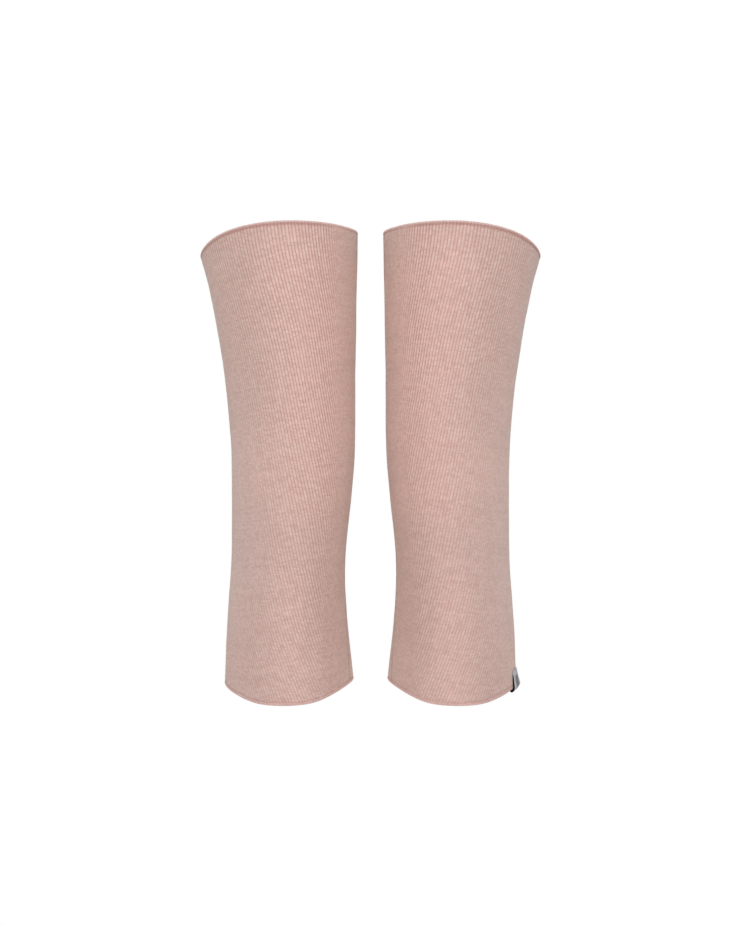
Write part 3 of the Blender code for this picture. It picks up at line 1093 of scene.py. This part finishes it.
# Each thread's second colour is the painted shade between its plies.
pale_thread = thread_material("pale_rose_thread", (0.84, 0.62, 0.57, 1), (0.70, 0.46, 0.42, 1))
deep_thread = thread_material("deep_rose_thread", (0.82, 0.55, 0.51, 1), (0.68, 0.40, 0.37, 1))
print("threads:", pale_thread.name, deep_thread.name)

# %% [markdown]
# ## Oversewing the hems
#
# An overlock machine wraps the roll in loops of thread, a loop about every millimetre, and its needle leaves
# a row of short stitches just inside the roll, at the foot of the ribs. Both are the same tree with other
# sizes: the loops turn about the line of the hem, and the stitches about the way to its free edge.

# %% Loops and needle stitches
LOOP_STEP = 0.0013
STITCH_STEP = 0.0026
NEEDLE_LINE = 0.0025  # from the free edge
NEEDLE_DEPTH = -0.00105  # out of the crests, so the stitches show in the grooves only


def loop_sizes(radius, start, sweep, points, thread, lean):
    """What the tree has to know of a loop: its sizes, its angles in degrees, and how it leans."""
    return {
        "Loop Radius": radius,
        "Loop Start": math.radians(start),
        "Loop Sweep": math.radians(sweep),
        "Loop Points": points,
        "Thread Radius": thread,
        "Lean": lean,
    }


OVER_THE_ROLL = loop_sizes(0.00114, -55, 290, 12, 0.00015, (0.25, 0.0, 0.0))
NEEDLE = loop_sizes(0.0009, 25, 130, 6, 0.00015, (0.0, 0.35, 0.0))


def path_mesh(name, places, loop_axis, loop_from):
    """Loose points along a path, each with the two directions that place a loop."""
    mesh = new_mesh(name, places)
    carry(mesh, loop_axis=loop_axis, loop_from=loop_from)
    return mesh


def oversew(leg, end, thread):
    """The loops over one roll and the needle stitches beside it."""
    hem, up, _ = HEMS[end]
    length = steps.sum()
    over = hem_path(SIDES[leg], hem, up, round(length / LOOP_STEP))
    loops = path_mesh("loop path", over.places, over.along, over.out)
    line = hem_path(SIDES[leg], hem, up, round(length / STITCH_STEP), NEEDLE_LINE, NEEDLE_DEPTH)
    needle = path_mesh("needle path", line.places, line.free, line.along)
    return [
        grow(f"{leg}_{end}_overlock", loops, sewing, {**OVER_THE_ROLL, "Thread": thread}),
        grow(f"{leg}_{end}_needle_line", needle, sewing, {**NEEDLE, "Thread": thread}),
    ]


HEM_THREADS = {"upper": pale_thread, "lower": deep_thread}
trims = {leg: [] for leg in SIDES}
for leg, end in rolls:
    trims[leg] += [rolls[leg, end], *oversew(leg, end, HEM_THREADS[end])]

# %% [markdown]
# ## The inner-leg seam
#
# The sleeve was closed with a seam down the inner leg. From outside it is a narrow furrow, sunk in the knit
# and darkened by a painted shade, where the ribs of the two sides run together. Between them the thread shows
# as a ladder of fine rungs. The furrow and its painted shade are already in the knit, so only the rungs are
# missing.

# %% Rungs of the seam
RUNG_STEP = 0.0021
SEAM_ENDS = 0.004  # how far the rungs stop short of the hems
RUNG_DEPTH = 0.00125
RUNG = loop_sizes(0.0010, 35, 110, 6, 0.00013, (0.0, 0.3, 0.0))


def seam_path(side):
    """Points down the seam, with the way along it and the way out of the cloth."""
    low = edge(LOWER_HEM, SEAM_BOTTOM) + SEAM_ENDS
    high = edge(UPPER_HEM, SEAM_TOP) - SEAM_ENDS
    heights = np.linspace(low, high, round((high - low) / RUNG_STEP))
    crest_points, out = cloth(side, seam_angle(heights), heights)
    along = np.gradient(crest_points, axis=0)
    along /= np.linalg.norm(along, axis=1, keepdims=True)
    return crest_points - RUNG_DEPTH * out, along, out


for leg, side in SIDES.items():
    places, along, out = seam_path(side)
    rungs = path_mesh("rung path", places, along, np.cross(out, along))
    trims[leg].append(grow(f"{leg}_seam_rungs", rungs, sewing, {**RUNG, "Thread": deep_thread}))

# %% [markdown]
# ## The woven label
#
# A small ribbon is folded over the left leg's lower hem, on its outer side. Its face is pale grey with a
# plain darker field, which stays empty here, and its back and cut edges are black. Two sheets are made from
# the cloth's own points, moved out over the hem: the face, and the back that hugs the roll. Further down the
# face stands off the knit, which shows the black between them. Rims join the two into one closed piece.

# %% The shape of the label
LABEL_WIDTH = 0.0183
LABEL_CENTRE = -0.0207  # along the hem, in front of the outer side
LABEL_OUTER_LEAF = 0.0142
LABEL_INNER_LEAF = 0.0090
LABEL_OVER_KNIT = 0.0004
LABEL_ROUND_ROLL = 0.0015
LABEL_UNDER_ROLL = 0.0030
RIBBON = 0.0005  # how thick the ribbon is
LABEL_LIFT_FRONT = 0.0012
LABEL_LIFT_REAR = 0.0026
LABEL_COLUMNS = 24
LEAF_ROWS = 16
FOLD_ROWS = 14
LABEL_ROWS = 2 * LEAF_ROWS + FOLD_ROWS + 1
PALE_RIM_ROWS = 3  # the front edge is still pale where the label lies flat on the knit


def label_profiles(lift):
    """The face and the back of the folded label, from its outer top, round the hem, to its inner top.

    Each is a pair: how far out the points lie from the cloth's crests, and how high over the free edge.
    """
    down = np.arange(LEAF_ROWS) / LEAF_ROWS
    up = np.arange(1, LEAF_ROWS + 1) / LEAF_ROWS
    turn = np.linspace(0, math.pi, FOLD_ROWS + 1)
    roll_side = HEM_OUT + LABEL_ROUND_ROLL
    back_out = [
        LABEL_OVER_KNIT + down * (roll_side - LABEL_OVER_KNIT),
        HEM_OUT + LABEL_ROUND_ROLL * np.cos(turn),
        HEM_OUT - LABEL_ROUND_ROLL + 0 * up,
    ]
    height = [
        LABEL_OUTER_LEAF + down * (HEM_RADIUS - LABEL_OUTER_LEAF),
        HEM_RADIUS - LABEL_UNDER_ROLL * np.sin(turn),
        HEM_RADIUS + up * (LABEL_INNER_LEAF - HEM_RADIUS),
    ]
    fold = RIBBON + lift * (1 - turn / math.pi) ** 2
    face_out = [
        back_out[0] + RIBBON + lift * down**1.3,
        back_out[1] + fold * np.cos(turn),
        back_out[2] - RIBBON,
    ]
    face_height = [height[0], height[1] - fold * np.sin(turn), height[2]]
    return [(np.concatenate(a), np.concatenate(b)) for a, b in ((face_out, face_height), (back_out, height))]


def label_faces():
    """Faces of the closed label and their materials: a pale face and upper edge, and black back and sides."""
    i, j = np.mgrid[0 : LABEL_COLUMNS - 1, 0 : LABEL_ROWS - 1]
    face = np.stack([i, j, i, j + 1, i + 1, j + 1, i + 1, j], axis=-1).reshape(-1, 4, 2) @ (LABEL_ROWS, 1)
    behind = LABEL_COLUMNS * LABEL_ROWS
    across = np.arange(LABEL_COLUMNS - 1) * LABEL_ROWS
    along = np.arange(LABEL_ROWS - 1)
    edges = (
        (across, LABEL_ROWS),
        (across + LABEL_ROWS - 1, LABEL_ROWS),
        (along, 1),
        (along + behind - LABEL_ROWS, 1),
    )
    top, bottom, front, rear = (
        np.stack([line, line + step, line + step + behind, line + behind], axis=-1) for line, step in edges
    )
    blocks = [face, face[:, ::-1] + behind, top, bottom[:, ::-1], front[:, ::-1], rear]
    black = np.concatenate([np.full(len(block), index) for block, index in zip(blocks, (0, 1, 0, 1, 1, 1))])
    black[len(face) * 2 + len(top) + len(bottom) + np.arange(PALE_RIM_ROWS)] = 0
    return np.concatenate(blocks), black


def label_mesh(name):
    """The folded label, column by column from its front edge to its rear one."""
    middle = (LOWER_HEM.front + LOWER_HEM.outer) / 2
    sheets = [[], []]
    for across in np.linspace(0, 1, LABEL_COLUMNS):
        along = LABEL_CENTRE + LABEL_WIDTH * (across - 0.5)
        angle = angle_at(middle, np.array([along / walk_round(middle)[1][-1]]))[0]
        lift = LABEL_LIFT_FRONT + across * (LABEL_LIFT_REAR - LABEL_LIFT_FRONT)
        for sheet, (out_by, height) in zip(sheets, label_profiles(lift)):
            crest_points, out = cloth(1, np.full_like(height, angle), edge(LOWER_HEM, angle) + height)
            sheet.append(crest_points + out_by[:, None] * out)
    faces, black = label_faces()
    mesh = new_mesh(name, np.array(sheets).reshape(-1, 3), [faces])
    mesh.polygons.foreach_set("material_index", black.astype(np.int32))
    down = np.concatenate([[0], np.cumsum(np.linalg.norm(np.diff(sheets[0][0], axis=0), axis=1))])
    column, row = np.divmod(corner_points(mesh) % (LABEL_COLUMNS * LABEL_ROWS), LABEL_ROWS)
    lay_uv(mesh, "weave", column / (LABEL_COLUMNS - 1) * LABEL_WIDTH, down[row])
    return mesh


label = new_object("left_hem_label_ribbon", label_mesh("left_hem_label_ribbon"))
print("label faces:", len(label.data.polygons))

# %% [markdown]
# ## Woven ribbon as a material
#
# The label is a satin weave, much finer than the knit: threads a quarter of a millimetre apart, crossing at
# right angles. The UV map holds real lengths in metres, from the label's front edge and from the top of its
# outer leaf, so the weave and the darker field are written in their own sizes.

# %% Materials of the label
RIBBON_GREY = (0.55, 0.55, 0.615, 1)
FIELD_GREY = (0.125, 0.12, 0.125, 1)
WEAVE_STEP = 0.00025
WEAVE_SHINE = 0.25
WEAVE_BUMP = (0.6, 0.00006)
FIELD_FROM = (0.0040, 0.0042)
FIELD_TO = (0.0145, 0.0160)
FIELD_SOFT = 0.0008  # the width over which the field fades out
SELVEDGE_BUMP = (0.6, 0.0001)
SELVEDGE_THREADS = 3000.0  # per metre


def ribbon_material(name, face, field):
    """A fine weave in one colour, with a plain field in another."""
    material, tree = new_material(name)
    place = add(tree, "ShaderNodeUVMap", uv_map="weave").outputs[0]
    x, y, _ = add(tree, "ShaderNodeSeparateXYZ", {0: place}).outputs
    threads = times(ripple(x, WEAVE_STEP), ripple(y, WEAVE_STEP))
    weave = calc("MULTIPLY_ADD", threads, 0.5, 0.5)
    inside = 1.0
    for way, low, high in zip((x, y), FIELD_FROM, FIELD_TO):
        half = (high - low) / 2
        within = fade(apart(way, low + half), half - FIELD_SOFT, half)
        inside = times(within, inside)
    base = mix_colours(inside, face, field)
    # Painted sheen: the tops of the weave's threads are mixed towards a pale grey.
    shaded = mix_colours(times(weave, WEAVE_SHINE), base, (0.9, 0.9, 0.92, 1))
    set_shader(tree, shaded, weave, WEAVE_BUMP, {"Roughness": 0.5})
    return material


def selvedge_material(name):
    """The black back and edges of the ribbon: close threads, with a faint grey where they catch the light."""
    material, tree = new_material(name)
    place = add(tree, "ShaderNodeTexCoord").outputs["Object"]
    threads = noise(place, SELVEDGE_THREADS, 2.0)
    colour = mix_colours(threads, (0.002, 0.002, 0.002, 1), (0.02, 0.018, 0.02, 1))
    set_shader(tree, colour, threads, SELVEDGE_BUMP, {"Roughness": 0.8, "Specular IOR Level": 0.1})
    return material


label.data.materials.append(ribbon_material("pale_grey_ribbon", RIBBON_GREY, FIELD_GREY))
label.data.materials.append(selvedge_material("black_ribbon_back"))
label.data.shade_flat()
print("label materials:", [material.name for material in label.data.materials])

# %% [markdown]
# ## Putting it on the model
#
# The whole pair is one body, so every piece rides on it, and the solids that the pieces stand for are hidden.
# The tubes and the label are sheets of cloth: a tube is as wide as its girth laid open and as long as the leg
# it covers.

for leg in SIDES:
    knit = sleeves[leg]
    for piece, finish in [(knit, "rib_knit"), *((trim, "rolled_hem") for trim in trims[leg])]:
        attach(piece, "root")
    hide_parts(f"{leg}_knit_tube")
    for end in HEMS:
        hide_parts(f"{leg}_{end}_hem")
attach(label, "root")
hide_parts("left_hem_label")

# %% [markdown]
# ## The boxes
#
# The boxes of the solids and of the dressed pair are both printed, for comparing. The dressed pair
# has to stay in the box of its solids.

# %% Sizes of the boxes
visual_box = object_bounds()
boxes = {"cad": [list(v) for v in cad_box], "visual": [list(v) for v in visual_box]}
for name, box in boxes.items():
    print(name, "box in millimetres:", [[round(v * 1000, 1) for v in corner] for corner in box])
